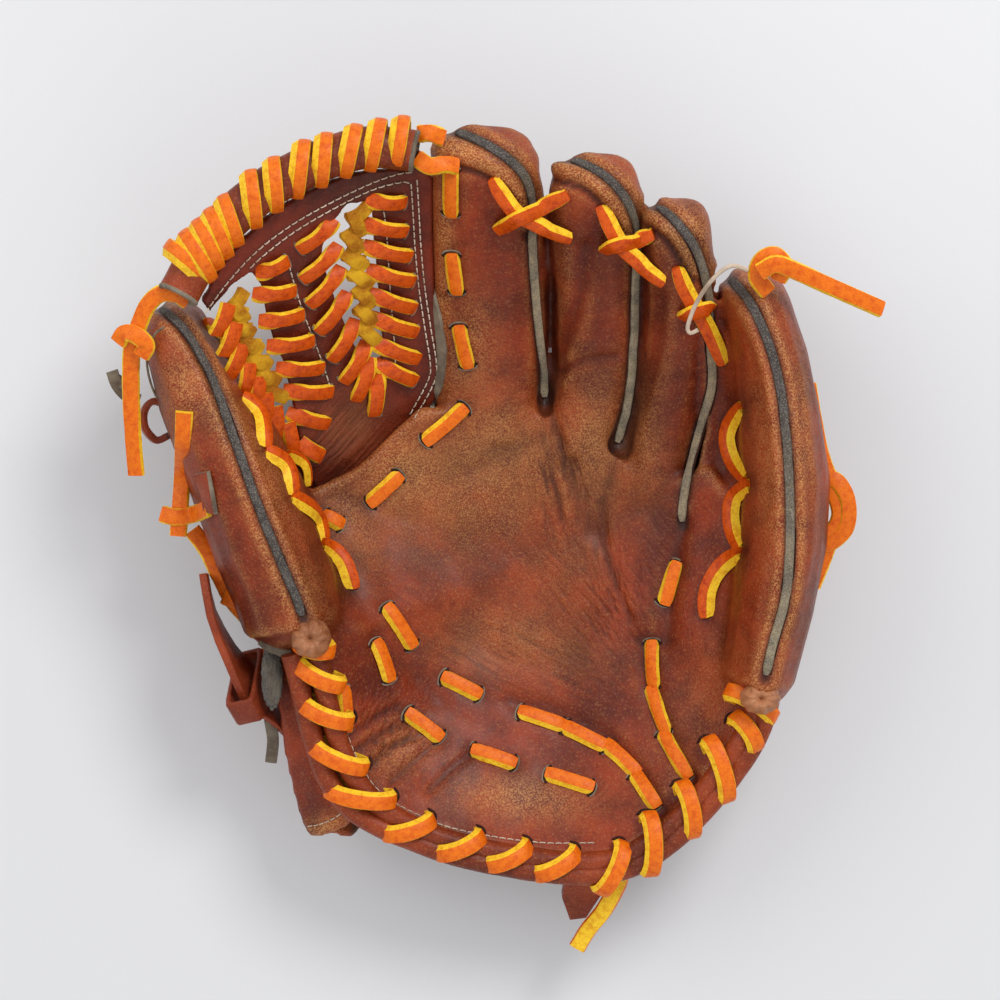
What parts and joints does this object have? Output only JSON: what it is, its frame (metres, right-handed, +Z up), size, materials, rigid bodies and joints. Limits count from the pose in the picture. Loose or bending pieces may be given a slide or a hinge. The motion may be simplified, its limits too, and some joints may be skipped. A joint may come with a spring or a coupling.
{
  "type": "infield baseball glove",
  "caption": "Leather infield baseball glove for the left hand, lying palm up, with a laced web, rawhide lacing and a wrist strap.",
  "frame": {"origin": "a point on the back's flat underside, on the floor below the middle of the palm-up glove", "axes": "+X from the thumb to the little finger, +Y from the heel to the finger tips, +Z up out of the palm"},
  "size_m": [0.2814, 0.3111, 0.1056],
  "materials": {
    "shell_leather": "worn oiled leather",
    "web_leather": "dark oiled leather",
    "cap_leather": "worn pale leather",
    "welt": "grey piping",
    "rawhide": "waxed rawhide lace",
    "fleece": "short fleece"
  },
  "bodies": {
    "root": {"palm": "shell_leather", "thumb_stall": "shell_leather", "index_stall": "shell_leather", "middle_stall": "shell_leather", "ring_stall": "shell_leather", "little_stall": "shell_leather", "back_panel": "shell_leather", "heel_binding": "shell_leather", "heel_tab": "shell_leather", "thumb_end_cap": "cap_leather", "little_end_cap": "cap_leather", "wrist_strap": "shell_leather", "strap_keeper": "shell_leather", "web_panel": "web_leather", "web_binding": "web_leather", "thumb_welt": "welt", "index_welt": "welt", "middle_welt": "welt", "ring_welt": "welt", "little_welt": "welt", "web_top_lace": "rawhide", "web_net_right": "rawhide", "web_net_left": "rawhide", "heel_lace": "rawhide", "heel_lace_end": "rawhide", "index_middle_lace": "rawhide", "middle_ring_lace": "rawhide", "ring_little_lace": "rawhide", "little_tip_lace": "rawhide", "little_side_lace": "rawhide", "thumb_tip_lace": "rawhide", "thumb_side_lace": "rawhide", "thumb_roll_lace": "rawhide", "fleece_pad": "fleece"}
  },
  "joints": []
}
